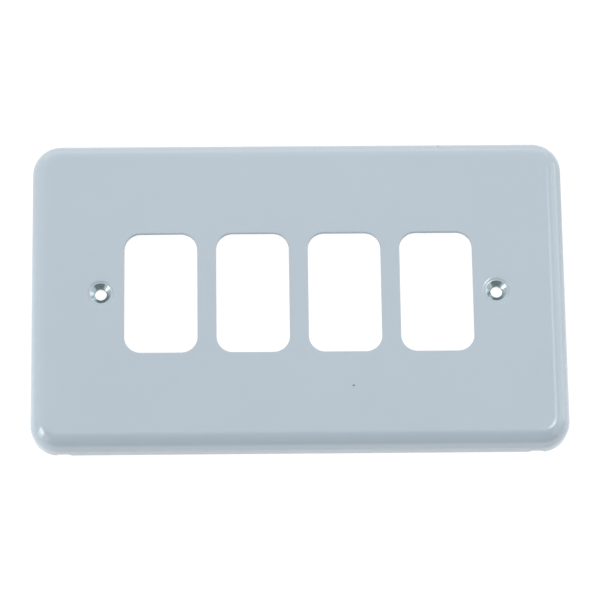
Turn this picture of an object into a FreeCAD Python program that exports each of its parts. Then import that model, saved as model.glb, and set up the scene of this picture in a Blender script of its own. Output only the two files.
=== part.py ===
import FreeCAD, Part
import math
import os
from FreeCAD import Vector

# Front plate of a grid switch: one pressed sheet of steel.
# The plate lies on the edge of its skirt at Z = 0 and shows its face towards +Z.
# X runs along the row of switch apertures and Y up the plate. All sizes are in millimetres.

# Row of switch apertures
aperture_count = 4
aperture_width = 22.2
aperture_height = 38.1
aperture_corner_radius = 5.0
aperture_web = 5.8              # bar of sheet between two apertures

# Pressing
sheet = 1.2
plate_height = 98.0
fixing_margin = 7.2             # from the end aperture's edge to the screw's axis
end_margin = 21.2               # from the screw's axis to the end of the plate
skirt_height = 3.0              # straight wall below the shoulder
shoulder_bend_radius = 3.8      # inside the bend from the face to the skirt
face_corner_radius = 3.8        # corner of the flat face, in plan

# Screw dimples
screw_hole_diameter = 3.8
seat_width = 1.5                # the cone's width beyond the hole, in plan
seat_angle = 90.0               # between opposite sides of the cone
lip_bend_radius = 0.2           # inside the bend from the face to the cone
boss_land = 0.6                 # flat ring round the hole at the back

# Shallow notches in the skirt's edge on both sides of each corner
notch_depth = 1.2
notch_floor = 2.6               # from the end of the corner's arc
notch_ramp = 1.2

# Sizes that follow from the ones above
aperture_pitch = aperture_width + aperture_web
row_length = aperture_count * aperture_pitch - aperture_web
fixing_centres = row_length + 2 * fixing_margin
plate_length = fixing_centres + 2 * end_margin
shoulder_radius = shoulder_bend_radius + sheet
plate_depth = skirt_height + shoulder_radius
back_of_face = plate_depth - sheet
hole_radius = screw_hole_diameter / 2
seat_slope = math.radians(seat_angle / 2)       # from the screw's axis to the cone
lip_turn = math.pi / 2 - seat_slope             # from the face to the cone
lip_radius = lip_bend_radius + sheet
lip_start = hole_radius + seat_width + lip_radius * math.tan(lip_turn / 2)
dimple_reach = lip_start + sheet


def rounded_rectangle(length, height, corner_radius, z):
    """Closed wire of four straight sides and four quarter arcs, centred on the Z axis."""
    corners = [(1, -1, -90), (1, 1, 0), (-1, 1, 90), (-1, -1, 180)]
    arcs = []
    for side_x, side_y, start_angle in corners:
        centre = Vector(side_x * (length / 2 - corner_radius), side_y * (height / 2 - corner_radius), z)
        circle = Part.Circle(centre, Vector(0, 0, 1), corner_radius)
        start = math.radians(start_angle)
        arcs.append(Part.Arc(circle, start, start + math.pi / 2))
    edges = []
    for index, arc in enumerate(arcs):
        following = arcs[(index + 1) % len(arcs)]
        edges.append(arc.toShape())
        edges.append(Part.LineSegment(arc.EndPoint, following.StartPoint).toShape())
    return Part.Wire(edges)


def rolled_block(length, height, depth, edge_radius):
    """Block on Z = 0 whose upper edge is rolled over, round the corner of the flat face."""
    outline = rounded_rectangle(length, height, face_corner_radius + edge_radius, 0)
    block = Part.Face(outline).extrude(Vector(0, 0, depth))
    top_edges = [
        edge for edge in block.Edges
        if all(abs(vertex.Z - depth) < 1e-6 for vertex in edge.Vertexes)
    ]
    return block.makeFillet(edge_radius, top_edges)


def pressed_tray():
    """Sheet of one thickness drawn into a flat face, a rolled shoulder and a straight skirt."""
    outside = rolled_block(plate_length, plate_height, plate_depth, shoulder_radius)
    inside = rolled_block(
        plate_length - 2 * sheet, plate_height - 2 * sheet, back_of_face, shoulder_bend_radius
    )
    return outside.cut(inside)


def aperture_punches():
    """Rounded punches along the row, from one sheet behind the face to one sheet before it."""
    punches = []
    for index in range(aperture_count):
        outline = rounded_rectangle(
            aperture_width, aperture_height, aperture_corner_radius, back_of_face - sheet
        )
        outline.translate(Vector((index - (aperture_count - 1) / 2) * aperture_pitch, 0, 0))
        punches.append(Part.Face(outline).extrude(Vector(0, 0, 3 * sheet)))
    return punches


def edge_notches():
    """Sloping-ended cutters that notch the skirt's edge where each side meets a corner's arc."""
    centre = Vector(0, 0, 0)
    corner_radius = face_corner_radius + shoulder_radius
    notches = []
    for half_run, half_across, turn in [(plate_length / 2, plate_height / 2, 0),
                                        (plate_height / 2, plate_length / 2, 90)]:
        arc_end = half_run - corner_radius
        floor_end = arc_end - notch_floor
        outside = -half_across - sheet
        section = Part.makePolygon([
            Vector(floor_end - notch_ramp, outside, 0),
            Vector(floor_end, outside, notch_depth),
            Vector(arc_end, outside, notch_depth),
            Vector(arc_end + notch_ramp, outside, 0),
            Vector(floor_end - notch_ramp, outside, 0),
        ])
        notch = Part.Face(section).extrude(Vector(0, 3 * sheet, 0))
        notch.rotate(centre, Vector(0, 0, 1), turn)
        pair = [notch, notch.mirror(centre, Vector(0, 1, 0))]
        notches += pair + [each.mirror(centre, Vector(1, 0, 0)) for each in pair]
    return notches


def dimple_profile():
    """Half section of the sheet pressed down round a screw hole: lip, cone, hole and boss."""
    bend_centre = Vector(lip_start, 0, plate_depth - lip_radius)

    def on_bend(radius, angle):
        return bend_centre + Vector(-radius * math.sin(angle), 0, radius * math.cos(angle))

    front_lip = [on_bend(lip_radius, lip_turn * share) for share in (0, 0.5, 1)]
    back_lip = [on_bend(lip_bend_radius, lip_turn * share) for share in (1, 0.5, 0)]
    cone_foot_z = plate_depth - seat_width / math.tan(seat_slope)
    boss_end_z = cone_foot_z - sheet / math.sin(seat_slope) + boss_land / math.tan(seat_slope)
    cone_foot = Vector(hole_radius, 0, cone_foot_z)
    hole_foot = Vector(hole_radius, 0, boss_end_z)
    boss_edge = Vector(hole_radius + boss_land, 0, boss_end_z)
    rim_back = Vector(dimple_reach, 0, back_of_face)
    rim_front = Vector(dimple_reach, 0, plate_depth)
    return Part.Wire([
        Part.LineSegment(rim_front, front_lip[0]).toShape(),
        Part.Arc(*front_lip).toShape(),
        Part.LineSegment(front_lip[2], cone_foot).toShape(),
        Part.LineSegment(cone_foot, hole_foot).toShape(),
        Part.LineSegment(hole_foot, boss_edge).toShape(),
        Part.LineSegment(boss_edge, back_lip[0]).toShape(),
        Part.Arc(*back_lip).toShape(),
        Part.LineSegment(back_lip[2], rim_back).toShape(),
        Part.LineSegment(rim_back, rim_front).toShape(),
    ])


def press_dimples(plate):
    """The plate with the ring of sheet round each fixing screw replaced by a countersunk dimple."""
    profile = dimple_profile()
    for side in (-1, 1):
        place = Vector(side * fixing_centres / 2, 0, 0)
        dimple = Part.Face(profile).revolve(Vector(0, 0, 0), Vector(0, 0, 1), 360)
        dimple.translate(place)
        blank = Part.makeCylinder(dimple_reach, sheet, place + Vector(0, 0, back_of_face))
        plate = plate.cut(blank).fuse(dimple)
    return plate


def front_plate():
    """The finished plate: drawn, pierced, notched beside the corners and dimpled for its screws."""
    pierced = pressed_tray().cut(aperture_punches() + edge_notches())
    return press_dimples(pierced).removeSplitter().Solids[0]


os.makedirs("parts", exist_ok=True)
front_plate().exportStep("parts/front_plate.step")
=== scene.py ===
import bpy
import bmesh
import math
import numpy as np
from mathutils import Euler, Matrix, Vector


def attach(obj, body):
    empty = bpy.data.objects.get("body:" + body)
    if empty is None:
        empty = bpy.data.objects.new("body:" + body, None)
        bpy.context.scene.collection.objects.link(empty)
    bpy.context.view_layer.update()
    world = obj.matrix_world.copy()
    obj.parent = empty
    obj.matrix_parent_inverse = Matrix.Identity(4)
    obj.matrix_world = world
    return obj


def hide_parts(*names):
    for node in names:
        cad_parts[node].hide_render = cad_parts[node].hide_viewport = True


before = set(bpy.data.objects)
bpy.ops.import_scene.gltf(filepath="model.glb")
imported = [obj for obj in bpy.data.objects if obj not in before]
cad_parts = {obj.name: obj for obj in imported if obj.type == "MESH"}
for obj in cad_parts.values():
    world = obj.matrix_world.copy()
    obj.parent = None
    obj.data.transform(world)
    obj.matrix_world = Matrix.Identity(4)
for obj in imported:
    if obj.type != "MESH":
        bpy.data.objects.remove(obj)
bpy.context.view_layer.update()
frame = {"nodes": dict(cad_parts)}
mm = 0.001  # sizes below are in millimetres
weldGap = 5e-7  # metres; points closer than this become one
print("frame loaded:", ", ".join(frame["nodes"]))


# One side of a rounded rectangle with its outside downwards: the centre of curvature waits at the first corner,
# moves along the run at the given shares and waits at the second; the point is one radius away along the normal.
def sideRun(halfRun, halfAcross, radius, shares, arcSteps):
    arriving = np.linspace(-0.75, -0.5, arcSteps + 1)[:-1] * np.pi
    leaving = np.linspace(-0.5, -0.25, arcSteps + 1)[1:] * np.pi
    angle = np.concatenate([arriving, np.full(len(shares), -0.5 * np.pi), leaving])
    along = np.concatenate([np.full(arcSteps, -1.0), 2 * shares - 1, np.full(arcSteps, 1.0)])
    normal = np.column_stack([np.cos(angle), np.sin(angle)])
    centre = np.column_stack([along * (halfRun - radius), np.full(len(angle), radius - halfAcross)])
    return centre + radius * normal, normal


# Closed rounded rectangle: four sides, each turned a quarter on from the last, without their shared end points.
def roundedLoop(halfX, halfY, radius, sharesX, sharesY, arcSteps):
    points, normals = [], []
    for quarter, (c, s) in enumerate([(1, 0), (0, 1), (-1, 0), (0, -1)]):
        halves = (halfX, halfY) if quarter % 2 == 0 else (halfY, halfX)
        side, out = sideRun(*halves, radius, sharesX if quarter % 2 == 0 else sharesY, arcSteps)
        turn = np.array([[c, s], [-s, c]])
        points.append(side[:-1] @ turn)
        normals.append(out[:-1] @ turn)
    return np.concatenate(points), np.concatenate(normals)


# Rectangle as a closed loop through the given stations, counter-clockwise from its lower left corner.
def boxLoop(x, y):
    lower = np.column_stack([x[:-1], np.full(len(x) - 1, y[0])])
    right = np.column_stack([np.full(len(y) - 1, x[-1]), y[:-1]])
    upper = np.column_stack([x[:0:-1], np.full(len(x) - 1, y[-1])])
    left = np.column_stack([np.full(len(y) - 1, x[0]), y[:0:-1]])
    return np.concatenate([lower, right, upper, left])


# Arc of a circle from one angle to another, in degrees: centre plus radius times cosine and sine.
def bend(centre, radius, first, last, steps):
    angle = np.radians(np.linspace(first, last, steps + 1))
    return np.column_stack([centre[0] + radius * np.cos(angle), centre[1] + radius * np.sin(angle)])


# Profile carried along a loop: the loop's point moved along its normal by the profile's offset, at its height.
def carried(loop, normals, profile):
    plan = loop[:, None, :] + normals[:, None, :] * profile[None, :, :1]
    height = np.broadcast_to(profile[None, :, 1:], plan.shape[:2] + (1,))
    return np.concatenate([plan, height], axis=2)


# Flat ring: a straight line from every point of the inner loop to its fellow on the outer loop, cut in equal steps.
def ruledRing(inner, outer, z, steps):
    share = np.linspace(0, 1, steps + 1)[None, :, None]
    plan = inner[:, None, :] * (1 - share) + outer[:, None, :] * share
    return np.concatenate([plan, np.full(plan.shape[:2] + (1,), z)], axis=2)


# Quads of a grid that closes on itself in its first direction.
def loopQuads(n, m, start):
    i, j = np.meshgrid(np.arange(n), np.arange(m - 1), indexing="ij")
    k = (i + 1) % n
    return start + np.stack([i * m + j, k * m + j, k * m + j + 1, i * m + j + 1], axis=-1).reshape(-1, 4)


# Patches that meet point for point are welded into one closed sheet with its faces outwards.
def weldedSheet(name, patches):
    sizes = [grid.shape[0] * grid.shape[1] for grid, slots in patches]
    starts = np.cumsum([0] + sizes[:-1])
    vertices = np.concatenate([grid.reshape(-1, 3) for grid, slots in patches]) * mm
    quads = np.concatenate([loopQuads(*grid.shape[:2], start) for (grid, slots), start in zip(patches, starts)])
    finish = np.concatenate([np.broadcast_to(slots, (grid.shape[0], grid.shape[1] - 1)).ravel()
                             for grid, slots in patches])
    mesh = bpy.data.meshes.new(name)
    mesh.from_pydata(vertices.tolist(), [], quads.tolist())
    mesh.polygons.foreach_set("material_index", finish.astype(np.int32))
    sheet = bmesh.new()
    sheet.from_mesh(mesh)
    bmesh.ops.remove_doubles(sheet, verts=sheet.verts, dist=weldGap)
    bmesh.ops.recalc_face_normals(sheet, faces=sheet.faces)
    openEdges = sum(not edge.is_manifold for edge in sheet.edges)
    volume = sheet.calc_volume(signed=True)
    sheet.to_mesh(mesh)
    sheet.free()
    mesh.polygons.foreach_set("use_smooth", np.ones(len(mesh.polygons), bool))
    mesh.update()
    print(f"{name}: {len(mesh.polygons)} quads, {openEdges} open edges, {volume * 1e9:.0f} mm3")
    piece = bpy.data.objects.new(name, mesh)
    bpy.context.scene.collection.objects.link(piece)
    return piece


# Rim of the pressing: rolled shoulder, skirt and its edge
rim = dict(halfX=76.5, halfY=44.0, corner=3.8, depth=8.0, sheet=1.2, shoulder=5.0, skirt=3.0, edge=0.28,
           notchDepth=1.2, notchFloor=2.6, notchRamp=1.3, ease=0.8,
           easeEnd=0.6, arcStart=0.7,  # shares of the ease
           nearReach=4.4, nearPoints=11, nearLast=(5.4, 6.8), spansX=40, spansY=20,  # along the straight runs
           cornerSteps=16, easePoints=9, arcPoints=23, skirtPoints=6, edgeSteps=4, insideSteps=14)


# Stations along a straight run, close together over the notch beside each corner.
def notchStations(half, spans, s):
    run = 2 * (half - s["corner"])
    near = np.concatenate([np.linspace(0, s["nearReach"], s["nearPoints"]), s["nearLast"]])
    between = np.linspace(near[-1], run - near[-1], spans + 1)[1:-1]
    return np.concatenate([near, between, run - near[::-1]]) / run


# The shoulder's circle is entered gently: near its start the slope grows as the square of the distance, and the
# small drop that this adds fades out down the shoulder.
def shoulderCurve(s):
    w, r = s["ease"], s["shoulder"]
    arc = r * np.cos(np.radians(np.linspace(90, 0, s["arcPoints"])))
    out = np.concatenate([np.linspace(-w, s["easeEnd"] * w, s["easePoints"]), arc[arc > s["arcStart"] * w]])
    past = np.maximum(out, 0)
    eased = (out + w) ** 3 / (12 * r * w) - past ** 2 / (2 * r)
    fading = w * w / (6 * r) * (r - out) / (r - w)
    drop = np.where(out < w, eased, fading)
    return np.column_stack([out, s["skirt"] + np.sqrt(np.maximum(r * r - past ** 2, 0)) - drop])


# The rim's section goes out over the shoulder, down the skirt, round its edge and back up inside.
def rimProfile(s):
    back = s["depth"] - s["sheet"]
    inside = s["shoulder"] - s["sheet"]
    e = s["edge"]
    down = np.linspace(s["skirt"], e, s["skirtPoints"])[1:-1]
    return np.concatenate([
        shoulderCurve(s),
        np.column_stack([np.full(len(down), s["shoulder"]), down]),
        bend((s["shoulder"] - e, e), e, 0, -90, s["edgeSteps"]),
        bend((inside + e, e), e, 270, 180, s["edgeSteps"]),
        np.column_stack([np.full(len(down), inside), down[::-1]]),
        bend((0, s["skirt"]), inside, 0, 90, s["insideSteps"]),
        [[-0.5 * s["ease"], back], [-s["ease"], back]],
    ])


# The notch is a trough along the path: a floor beside the end of the arc with an eased ramp at both ends.
# It lifts the skirt in proportion to the distance below the shoulder.
def notched(grid, normals, s):
    place = np.abs(grid[:, :, :2]).max(axis=1) - (np.array([s["halfX"], s["halfY"]]) - s["corner"])
    past = np.where(np.abs(normals[:, 0]) < np.abs(normals[:, 1]), place[:, 0], place[:, 1])
    ramp = np.minimum((past + s["notchFloor"]) / s["notchRamp"] + 1, 1 - past / s["notchRamp"])
    ramp = np.clip(ramp, 0, 1)
    lift = s["notchDepth"] * ramp * ramp * (3 - 2 * ramp)
    below = np.clip(1 - grid[:, :, 2] / s["skirt"], 0, 1)
    grid[:, :, 2] += lift[:, None] * below
    return grid


rimLoop, rimNormals = roundedLoop(rim["halfX"], rim["halfY"], rim["corner"],
                                  notchStations(rim["halfX"], rim["spansX"], rim),
                                  notchStations(rim["halfY"], rim["spansY"], rim), rim["cornerSteps"])
rimGrid = notched(carried(rimLoop, rimNormals, rimProfile(rim)), rimNormals, rim)
print("rim:", rimGrid.shape)

# Module apertures in a row
aperture = dict(count=4, pitch=28.0, halfX=11.1, halfY=19.05, corner=5.0, edge=0.2, apron=0.5,
                pointsX=3, pointsY=63, cornerSteps=7, edgeSteps=4)


# The aperture's section goes from the face round the painted edge, down the wall and out at the back.
def apertureProfile(s, front, back):
    e = s["edge"]
    return np.concatenate([
        [[s["apron"], front]],
        bend((e, front - e), e, 90, 180, s["edgeSteps"]),
        bend((e, back + e), e, 180, 270, s["edgeSteps"]),
        [[s["apron"], back]],
    ])


front, back = rim["depth"], rim["depth"] - rim["sheet"]
openingLoop, openingNormals = roundedLoop(aperture["halfX"], aperture["halfY"], aperture["corner"],
                                          np.linspace(0, 1, aperture["pointsX"]),
                                          np.linspace(0, 1, aperture["pointsY"]), aperture["cornerSteps"])
apertureCentres = (np.arange(aperture["count"]) - 0.5 * (aperture["count"] - 1)) * aperture["pitch"]
openingProfile = apertureProfile(aperture, front, back)
openingGrids = [carried(openingLoop + [x, 0], openingNormals, openingProfile) for x in apertureCentres]
print("apertures:", len(openingGrids), openingGrids[0].shape)

# Screw dimples: a dished entry, a small painted step, then the bare cone and hole, and a boss behind.
# Knots are radius and height; those of mouth, outlet and bossRound count from the cone's foot, the hole's lower end
# and the boss's edge. The rays begin a few steps before straight down, to meet the corner of the cell round them.
dimple = dict(centre=60.3, hole=1.84, apron=4.7, rays=184, lead=8,
              lipPoints=61, lipEasings=2, conePoints=8, coneShare=0.96, coneEnd=0.02,
              lip=[(4.7, 8.0), (4.55, 7.996), (4.4, 7.983), (4.2, 7.957), (3.95, 7.919), (3.87, 7.905),
                   (3.78, 7.825), (3.69, 7.79), (3.3, 7.738), (3.22, 7.71)],
              seatFoot=6.57, mouth=[(0.005, -0.005), (0.0, -0.04)], holeMiddle=5.95,
              bossEnd=5.403, outlet=[(0.0, 0.1), (0.03, 0.03), (0.1, 0.0)],
              bossEdge=2.5, bossRound=[(-0.1, 0.0), (0.02, 0.04), (0.12, 0.12)],
              backCone=[(3.2, 6.1), (3.84, 6.74), (3.9, 6.79)], backFlat=[4.02, 4.3])


# The dimple's section is a broken line through the lip's knots, eased by averaging, then cone, hole and boss.
def dimpleProfile(s, back):
    r, z = np.array(s["lip"]).T
    fineR = np.linspace(r[0], r[-1], s["lipPoints"])
    fineZ = np.interp(-fineR, -r, z)
    for turn in range(s["lipEasings"]):
        fineZ[1:-1] = 0.25 * fineZ[:-2] + 0.5 * fineZ[1:-1] + 0.25 * fineZ[2:]
    share = np.append(np.linspace(0, s["coneShare"], s["conePoints"])[1:], 1)
    cone = np.column_stack([r[-1] + (s["hole"] + s["coneEnd"] - r[-1]) * share,
                            z[-1] + (s["seatFoot"] + s["coneEnd"] - z[-1]) * share])
    hole = [(s["hole"] + out, s["seatFoot"] + up) for out, up in s["mouth"]]
    hole += [(s["hole"], s["holeMiddle"])]
    hole += [(s["hole"] + out, s["bossEnd"] + up) for out, up in s["outlet"]]
    boss = [(s["bossEdge"] + out, s["bossEnd"] + up) for out, up in s["bossRound"]]
    boss += s["backCone"] + [(radius, back) for radius in s["backFlat"] + [s["apron"]]]
    profile = np.concatenate([np.column_stack([fineR, fineZ]), cone, hole, boss])
    firstBare = len(fineR) - 1
    return profile, firstBare, firstBare + len(cone) + len(hole)


seatProfile, firstBare, lastBare = dimpleProfile(dimple, back)
seatSlots = np.zeros(len(seatProfile) - 1, int)
seatSlots[firstBare:lastBare] = 1  # the countersink and the hole are bare steel
seatAngle = -0.5 * np.pi + 2 * np.pi * (np.arange(dimple["rays"]) - dimple["lead"]) / dimple["rays"]
seatRays = np.column_stack([np.cos(seatAngle), np.sin(seatAngle)])
seatCentres = np.array([-dimple["centre"], dimple["centre"]])
seatGrids = [carried(np.tile([x, 0.0], (dimple["rays"], 1)), seatRays, seatProfile) for x in seatCentres]
print("dimples:", len(seatGrids), seatGrids[0].shape)

# Flat of the plate, front and back: a cell round every opening, and a ring from the cells to the rim
flat = dict(cells=[-70.0, -54.8, -28.0, 0.0, 28.0, 54.8, 70.0], halfY=24.0, stepsX=16, stepsY=76, rings=4)


def flatPatches(z, inner, outer):
    stationsX = [np.linspace(a, b, flat["stepsX"] + 1) for a, b in zip(flat["cells"][:-1], flat["cells"][1:])]
    stationsY = np.linspace(-flat["halfY"], flat["halfY"], flat["stepsY"] + 1)
    field = np.concatenate([stationsX[0][:1]] + [x[1:] for x in stationsX])
    rings = [ruledRing(loop, boxLoop(x, stationsY), z, flat["rings"]) for loop, x in zip(inner, stationsX)]
    return rings + [ruledRing(boxLoop(field, stationsY), outer, z, flat["rings"])]


cellGrids = [seatGrids[0]] + openingGrids + [seatGrids[1]]
patches = [(rimGrid, 0)] + [(grid, 0) for grid in openingGrids] + [(grid, seatSlots) for grid in seatGrids]
patches += [(grid, 0) for grid in flatPatches(front, [g[:, 0, :2] for g in cellGrids], rimGrid[:, 0, :2])]
patches += [(grid, 0) for grid in flatPatches(back, [g[:, -1, :2] for g in cellGrids], rimGrid[:, -1, :2])]
plate = weldedSheet("painted_plate", patches)


# Node helpers: a node with its settings and plain values, and a link between two sockets
def node(tree, kind, values=None, **settings):
    made = tree.nodes.new(kind)
    for name, value in settings.items():
        setattr(made, name, value)
    for name, value in (values or {}).items():
        made.inputs[name].default_value = value
    return made


def join(tree, source, target):
    tree.links.new(source, target)


noiseSpan = (0.3, 0.7)  # where most of the noise's values lie
speckCore = 0.45  # share of a speck's reach that is fully covered


# Mottle: noise at a given scale, spread between a low and a high value
def mottleGroup():
    tree = bpy.data.node_groups.new("mottle", "ShaderNodeTree")
    face = tree.interface
    face.new_socket("Vector", in_out="INPUT", socket_type="NodeSocketVector")
    for name, value in [("Scale", 100.0), ("Detail", 2.0), ("Low", 0.0), ("High", 1.0)]:
        face.new_socket(name, in_out="INPUT", socket_type="NodeSocketFloat").default_value = value
    face.new_socket("Value", in_out="OUTPUT", socket_type="NodeSocketFloat")
    given, put = node(tree, "NodeGroupInput"), node(tree, "NodeGroupOutput")
    noise = node(tree, "ShaderNodeTexNoise")
    spread = node(tree, "ShaderNodeMapRange", {"From Min": noiseSpan[0], "From Max": noiseSpan[1]})
    join(tree, given.outputs["Vector"], noise.inputs["Vector"])
    join(tree, given.outputs["Scale"], noise.inputs["Scale"])
    join(tree, given.outputs["Detail"], noise.inputs["Detail"])
    join(tree, noise.outputs["Fac"], spread.inputs["Value"])
    join(tree, given.outputs["Low"], spread.inputs["To Min"])
    join(tree, given.outputs["High"], spread.inputs["To Max"])
    join(tree, spread.outputs["Result"], put.inputs["Value"])
    return tree


# Speck: a soft-edged spot round a point, its reach given along each axis
def speckGroup():
    tree = bpy.data.node_groups.new("speck", "ShaderNodeTree")
    face = tree.interface
    for name in ("Vector", "Centre", "Reach"):
        face.new_socket(name, in_out="INPUT", socket_type="NodeSocketVector")
    face.new_socket("Mask", in_out="OUTPUT", socket_type="NodeSocketFloat")
    given, put = node(tree, "NodeGroupInput"), node(tree, "NodeGroupOutput")
    away = node(tree, "ShaderNodeVectorMath", operation="SUBTRACT")
    scaled = node(tree, "ShaderNodeVectorMath", operation="DIVIDE")
    length = node(tree, "ShaderNodeVectorMath", operation="LENGTH")
    edge = node(tree, "ShaderNodeMapRange", {"From Min": 1.0, "From Max": speckCore},
                interpolation_type="SMOOTHSTEP")
    join(tree, given.outputs["Vector"], away.inputs[0])
    join(tree, given.outputs["Centre"], away.inputs[1])
    join(tree, away.outputs["Vector"], scaled.inputs[0])
    join(tree, given.outputs["Reach"], scaled.inputs[1])
    join(tree, scaled.outputs["Vector"], length.inputs[0])
    join(tree, length.outputs["Value"], edge.inputs["Value"])
    join(tree, edge.outputs["Result"], put.inputs["Mask"])
    return tree


# Distance from the nearer screw's axis
def screwGroup():
    tree = bpy.data.node_groups.new("from_screw", "ShaderNodeTree")
    face = tree.interface
    face.new_socket("Vector", in_out="INPUT", socket_type="NodeSocketVector")
    face.new_socket("Radius", in_out="OUTPUT", socket_type="NodeSocketFloat")
    given, put = node(tree, "NodeGroupInput"), node(tree, "NodeGroupOutput")
    parts = node(tree, "ShaderNodeSeparateXYZ")
    side = node(tree, "ShaderNodeMath", operation="ABSOLUTE")
    fromAxis = node(tree, "ShaderNodeMath", operation="SUBTRACT")
    fromAxis.inputs[1].default_value = dimple["centre"] * mm
    plan = node(tree, "ShaderNodeCombineXYZ")
    radius = node(tree, "ShaderNodeVectorMath", operation="LENGTH")
    join(tree, given.outputs["Vector"], parts.inputs["Vector"])
    join(tree, parts.outputs["X"], side.inputs[0])
    join(tree, side.outputs["Value"], fromAxis.inputs[0])
    join(tree, fromAxis.outputs["Value"], plan.inputs["X"])
    join(tree, parts.outputs["Y"], plan.inputs["Y"])
    join(tree, plan.outputs["Vector"], radius.inputs[0])
    join(tree, radius.outputs["Value"], put.inputs["Radius"])
    return tree


mottle, speck, fromScrew = mottleGroup(), speckGroup(), screwGroup()


def screwRadius(tree, coords):
    made = node(tree, "ShaderNodeGroup", node_tree=fromScrew)
    join(tree, coords, made.inputs["Vector"])
    return made.outputs["Radius"]


def mottled(tree, coords, scale, detail, low, high):
    made = node(tree, "ShaderNodeGroup", node_tree=mottle)
    for name, value in [("Scale", scale), ("Detail", detail), ("Low", low), ("High", high)]:
        made.inputs[name].default_value = value
    join(tree, coords, made.inputs["Vector"])
    return made.outputs["Value"]


# Semi-gloss stoving enamel with a little orange peel, two small marks, and painted shade: a darker ring in the
# crease of the dimples' step
enamel = dict(light=(0.436, 0.515, 0.580, 1), deep=(0.426, 0.505, 0.570, 1), toneScale=24.0, detail=3.0,
              marks=[((16.2, -29.9, 8.0), (0.58, 0.34, 0.4), (0.12, 0.16, 0.19, 1)),
                     ((43.7, 47.8, 6.3), (0.55, 0.8, 0.9), (0.33, 0.37, 0.43, 1))],  # centre, reach, colour
              # painted shade: a darker ring at the crease of the dimples' step, where shade falls
              paintedCreaseShade=(3.8, 0.12, 0.65),  # radius, half width, strength
              paintedShadeTone=(0.20, 0.25, 0.29, 1), gloss=1.75, roughScale=90.0, roughLow=0.11, roughHigh=0.15,
              peelScale=620.0, peelDetail=1.5, peelDepth=0.006, peelStrength=0.35)


def enamelFinish(s):
    finish = bpy.data.materials.new("blue_grey_enamel")
    finish.use_nodes = True
    tree = finish.node_tree
    shader = tree.nodes["Principled BSDF"]
    shader.inputs["IOR"].default_value = s["gloss"]
    coords = node(tree, "ShaderNodeTexCoord").outputs["Object"]
    tone = node(tree, "ShaderNodeMix", data_type="RGBA")
    tone.inputs["A"].default_value = s["deep"]
    tone.inputs["B"].default_value = s["light"]
    join(tree, mottled(tree, coords, s["toneScale"], s["detail"], 0.0, 1.0), tone.inputs["Factor"])
    colour = tone.outputs["Result"]
    for centre, reach, stain in s["marks"]:
        spot = node(tree, "ShaderNodeGroup", node_tree=speck)
        spot.inputs["Centre"].default_value = [v * mm for v in centre]
        spot.inputs["Reach"].default_value = [v * mm for v in reach]
        join(tree, coords, spot.inputs["Vector"])
        over = node(tree, "ShaderNodeMix", data_type="RGBA")
        over.inputs["B"].default_value = stain
        join(tree, spot.outputs["Mask"], over.inputs["Factor"])
        join(tree, colour, over.inputs["A"])
        colour = over.outputs["Result"]
    # Painted shade: within a ring round each screw at the step's crease, the colour is pulled towards a dark shade
    # tone
    middle, width, strength = s["paintedCreaseShade"]
    past = node(tree, "ShaderNodeMath", operation="SUBTRACT")
    past.inputs[1].default_value = middle * mm
    join(tree, screwRadius(tree, coords), past.inputs[0])
    away = node(tree, "ShaderNodeMath", operation="ABSOLUTE")
    join(tree, past.outputs["Value"], away.inputs[0])
    line = node(tree, "ShaderNodeMapRange", {"From Min": width * mm, "From Max": 0.0, "To Max": strength},
                interpolation_type="SMOOTHSTEP")
    join(tree, away.outputs["Value"], line.inputs["Value"])
    creaseShaded = node(tree, "ShaderNodeMix", data_type="RGBA")
    creaseShaded.inputs["B"].default_value = s["paintedShadeTone"]
    join(tree, line.outputs["Result"], creaseShaded.inputs["Factor"])
    join(tree, colour, creaseShaded.inputs["A"])
    join(tree, creaseShaded.outputs["Result"], shader.inputs["Base Color"])
    roughness = mottled(tree, coords, s["roughScale"], s["detail"], s["roughLow"], s["roughHigh"])
    join(tree, roughness, shader.inputs["Roughness"])
    peel = node(tree, "ShaderNodeBump", {"Strength": s["peelStrength"], "Distance": s["peelDepth"] * mm})
    ripple = node(tree, "ShaderNodeTexNoise", {"Scale": s["peelScale"], "Detail": s["peelDetail"]})
    join(tree, coords, ripple.inputs["Vector"])
    join(tree, ripple.outputs["Fac"], peel.inputs["Height"])
    join(tree, peel.outputs["Normal"], shader.inputs["Normal"])
    return finish


# Turned bare steel of the countersinks: rings round the screw's axis
turned = dict(colour=(0.43, 0.52, 0.545, 1), dull=(0.33, 0.41, 0.44, 1), toneScale=900.0, toneLow=0.35, detail=2.0,
              ringWidth=0.11, ringDepth=0.004, ringStrength=0.3, roughScale=1500.0, roughLow=0.10, roughHigh=0.22)


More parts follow.
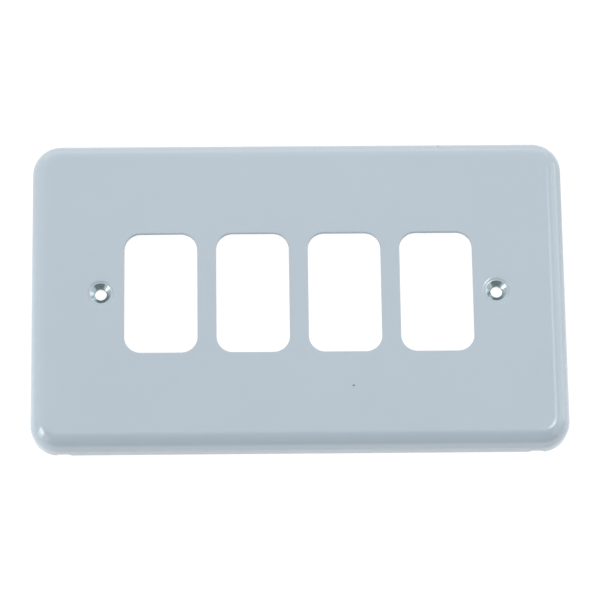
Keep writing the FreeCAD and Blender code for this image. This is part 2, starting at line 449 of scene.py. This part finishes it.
def turnedFinish(s):
    finish = bpy.data.materials.new("turned_steel")
    finish.use_nodes = True
    tree = finish.node_tree
    shader = tree.nodes["Principled BSDF"]
    shader.inputs["Metallic"].default_value = 1.0
    coords = node(tree, "ShaderNodeTexCoord").outputs["Object"]
    turn = node(tree, "ShaderNodeMath", operation="MULTIPLY")
    turn.inputs[1].default_value = 2 * math.pi / (s["ringWidth"] * mm)
    join(tree, screwRadius(tree, coords), turn.inputs[0])
    ring = node(tree, "ShaderNodeMath", operation="SINE")
    join(tree, turn.outputs["Value"], ring.inputs[0])
    tone = node(tree, "ShaderNodeMix", data_type="RGBA")
    tone.inputs["A"].default_value = s["dull"]
    tone.inputs["B"].default_value = s["colour"]
    join(tree, mottled(tree, coords, s["toneScale"], s["detail"], s["toneLow"], 1.0), tone.inputs["Factor"])
    join(tree, tone.outputs["Result"], shader.inputs["Base Color"])
    roughness = mottled(tree, coords, s["roughScale"], s["detail"], s["roughLow"], s["roughHigh"])
    join(tree, roughness, shader.inputs["Roughness"])
    grooves = node(tree, "ShaderNodeBump", {"Strength": s["ringStrength"], "Distance": s["ringDepth"] * mm})
    join(tree, ring.outputs["Value"], grooves.inputs["Height"])
    join(tree, grooves.outputs["Normal"], shader.inputs["Normal"])
    return finish


plate.data.materials.append(enamelFinish(enamel))
plate.data.materials.append(turnedFinish(turned))
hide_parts("front_plate")
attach(plate, "root")
print("finishes:", ", ".join(m.name for m in plate.data.materials))

# Studio: white table, pale tent, and a dark card where the camera stands. Its sizes are in metres, except the
# small drop that keeps the table clear of the plate.
table = dict(half=4.0, drop=0.02, colour=(0.92, 0.92, 0.92, 1), shade=(0.12, 0.12, 0.12, 1), cameraGlow=0.97,
             mirrorGlow=(0.05, 0.56), glowFade=0.03)  # mirrorGlow: behind the plate, before it
card = dict(foot=(-1.17, 2.24, -1.4, 0.15), bend=(-1.1, 1.5, -1.4, 1.75), end=(-1.0, 0.7, 0.05, 1.75),
            colour=(0.36, 0.36, 0.36, 1), roughness=0.9)  # edges: x from, x to, y, z


def stageSheet(name, corners, finish):
    mesh = bpy.data.meshes.new(name)
    mesh.from_pydata(corners, [], [[i, i + 1, i + 3, i + 2] for i in range(0, len(corners) - 2, 2)])
    mesh.materials.append(finish)
    plane = bpy.data.objects.new(name, mesh)
    bpy.context.scene.collection.objects.link(plane)
    return plane


def tableFinish(s):
    finish = bpy.data.materials.new("white_table")
    finish.use_nodes = True
    tree = finish.node_tree
    tree.nodes.remove(tree.nodes["Principled BSDF"])
    rays = node(tree, "ShaderNodeLightPath")
    seen = node(tree, "ShaderNodeMath", operation="MULTIPLY")
    seen.inputs[1].default_value = s["cameraGlow"]
    join(tree, rays.outputs["Is Camera Ray"], seen.inputs[0])
    either = node(tree, "ShaderNodeMath", operation="MAXIMUM")
    join(tree, rays.outputs["Is Glossy Ray"], either.inputs[0])
    join(tree, rays.outputs["Is Transmission Ray"], either.inputs[1])
    parts = node(tree, "ShaderNodeSeparateXYZ")
    join(tree, node(tree, "ShaderNodeTexCoord").outputs["Object"], parts.inputs["Vector"])
    behind, before = s["mirrorGlow"]
    mirrored = node(tree, "ShaderNodeMapRange", {"From Min": s["glowFade"], "From Max": -s["glowFade"],
                                                 "To Min": behind, "To Max": before})
    join(tree, parts.outputs["Y"], mirrored.inputs["Value"])
    strength = node(tree, "ShaderNodeMath", operation="MULTIPLY_ADD")
    join(tree, either.outputs["Value"], strength.inputs[0])
    join(tree, mirrored.outputs["Result"], strength.inputs[1])
    join(tree, seen.outputs["Value"], strength.inputs[2])
    tone = node(tree, "ShaderNodeMix", data_type="RGBA")  # the camera sees less of the paper and more of its glow
    tone.inputs["A"].default_value = s["colour"]
    tone.inputs["B"].default_value = s["shade"]
    join(tree, rays.outputs["Is Camera Ray"], tone.inputs["Factor"])
    paper = node(tree, "ShaderNodeBsdfDiffuse")
    join(tree, tone.outputs["Result"], paper.inputs["Color"])
    glow = node(tree, "ShaderNodeEmission")
    join(tree, strength.outputs["Value"], glow.inputs["Strength"])
    both = node(tree, "ShaderNodeAddShader")
    join(tree, paper.outputs["BSDF"], both.inputs[0])
    join(tree, glow.outputs["Emission"], both.inputs[1])
    join(tree, both.outputs["Shader"], tree.nodes["Material Output"].inputs["Surface"])
    return finish


def cardFinish(s):
    finish = bpy.data.materials.new("dark_card")
    finish.use_nodes = True
    shader = finish.node_tree.nodes["Principled BSDF"]
    shader.inputs["Base Color"].default_value = s["colour"]
    shader.inputs["Roughness"].default_value = s["roughness"]
    return finish


half, top = table["half"], -table["drop"] * mm
stageSheet("white_table", [(x, y, top) for y in (-half, half) for x in (-half, half)], tableFinish(table))
hung = [(x, y, z) for x0, x1, y, z in (card["foot"], card["bend"], card["end"]) for x in (x0, x1)]
darkCard = stageSheet("dark_card", hung, cardFinish(card))
darkCard.visible_camera = False

tent = dict(level=1.0, colour=(1, 1, 1, 1))
world = bpy.data.worlds.new("tent")
bpy.context.scene.world = world
world.use_nodes = True
backdrop = world.node_tree.nodes["Background"]
backdrop.inputs["Color"].default_value = tent["colour"]
backdrop.inputs["Strength"].default_value = tent["level"]

# Lamps: place and size in metres, turn and roll in degrees, level as the brightness of the lit panel.
# Lamps that overlap stand a little apart in depth, because in one plane they would hide each other.
lamps = dict(
    backOverhead=dict(at=(0.25, 0.95, 1.4), turn=(0, 0, 0), size=(0.7, 0.96), level=0.14),
    backPanel=dict(at=(0.0, 1.2, 0.45), turn=(-90, 0, 0), size=(2.0, 0.7), level=0.45),
    leftBox=dict(at=(-1.0, -0.23, 0.90), turn=(90, 0, -90), roll=20, size=(0.42, 0.66), level=4.7),
    leftFoot=dict(at=(-1.04, -0.40, 0.36), turn=(90, 0, -90), roll=20, size=(0.38, 0.52), level=1.8),
    leftFront=dict(at=(-1.08, -0.85, 0.28), turn=(90, 0, -90), size=(0.6, 0.44), level=0.1),
    rightPanel=dict(at=(1.0, 0.36, 0.22), turn=(90, 0, 90), size=(0.56, 0.44), level=0.95),
    rightUpper=dict(at=(1.0, 0.35, 0.8), turn=(90, 0, 90), size=(0.8, 0.7), level=0.62),
    rightStrip=dict(at=(0.59, 0.385, 1.3), turn=(0, 0, 0), size=(0.4, 0.37), level=1.05),
    rightSpot=dict(at=(0.405, 0.175, 1.25), turn=(0, 0, 0), size=(0.24, 0.22), level=4.7),
)
for name, s in lamps.items():
    lamp = bpy.data.lights.new(name, "AREA")
    lamp.shape = "RECTANGLE"
    lamp.size, lamp.size_y = s["size"]
    lamp.energy = math.pi * s["size"][0] * s["size"][1] * s["level"]
    holder = bpy.data.objects.new(name, lamp)
    holder.location = s["at"]
    facing = Euler([math.radians(v) for v in s["turn"]]).to_matrix()
    holder.rotation_euler = (facing @ Matrix.Rotation(math.radians(s.get("roll", 0)), 3, "Z")).to_euler()
    bpy.context.scene.collection.objects.link(holder)
print("lamps:", ", ".join(lamps))

# Camera: turned about the middle of the face; focal length and picture width in pixels, offset in millimetres
eye = dict(focal=3515.55, width=600, sensor=36.0, pitch=-18.4711, yaw=1.1527, roll=0.7862,
           offset=(-0.3432, 2.511, -1070.1155))
roll, pitch, yaw = [Matrix.Rotation(math.radians(eye[name]), 3, axis)
                    for name, axis in [("roll", "Z"), ("pitch", "X"), ("yaw", "Y")]]
toCamera = roll @ pitch @ yaw
place = -(toCamera.transposed() @ Vector(eye["offset"])) + Vector((0, 0, rim["depth"]))
lens = bpy.data.cameras.new("photo_view")
lens.sensor_width = eye["sensor"]
lens.lens = eye["sensor"] * eye["focal"] / eye["width"]
camera = bpy.data.objects.new("photo_view", lens)
camera.matrix_world = Matrix.Translation(place * mm) @ toCamera.transposed().to_4x4()
bpy.context.scene.collection.objects.link(camera)
bpy.context.scene.camera = camera
bpy.context.scene.view_settings.view_transform = "Standard"
print("camera at", [round(v, 4) for v in camera.matrix_world.translation])
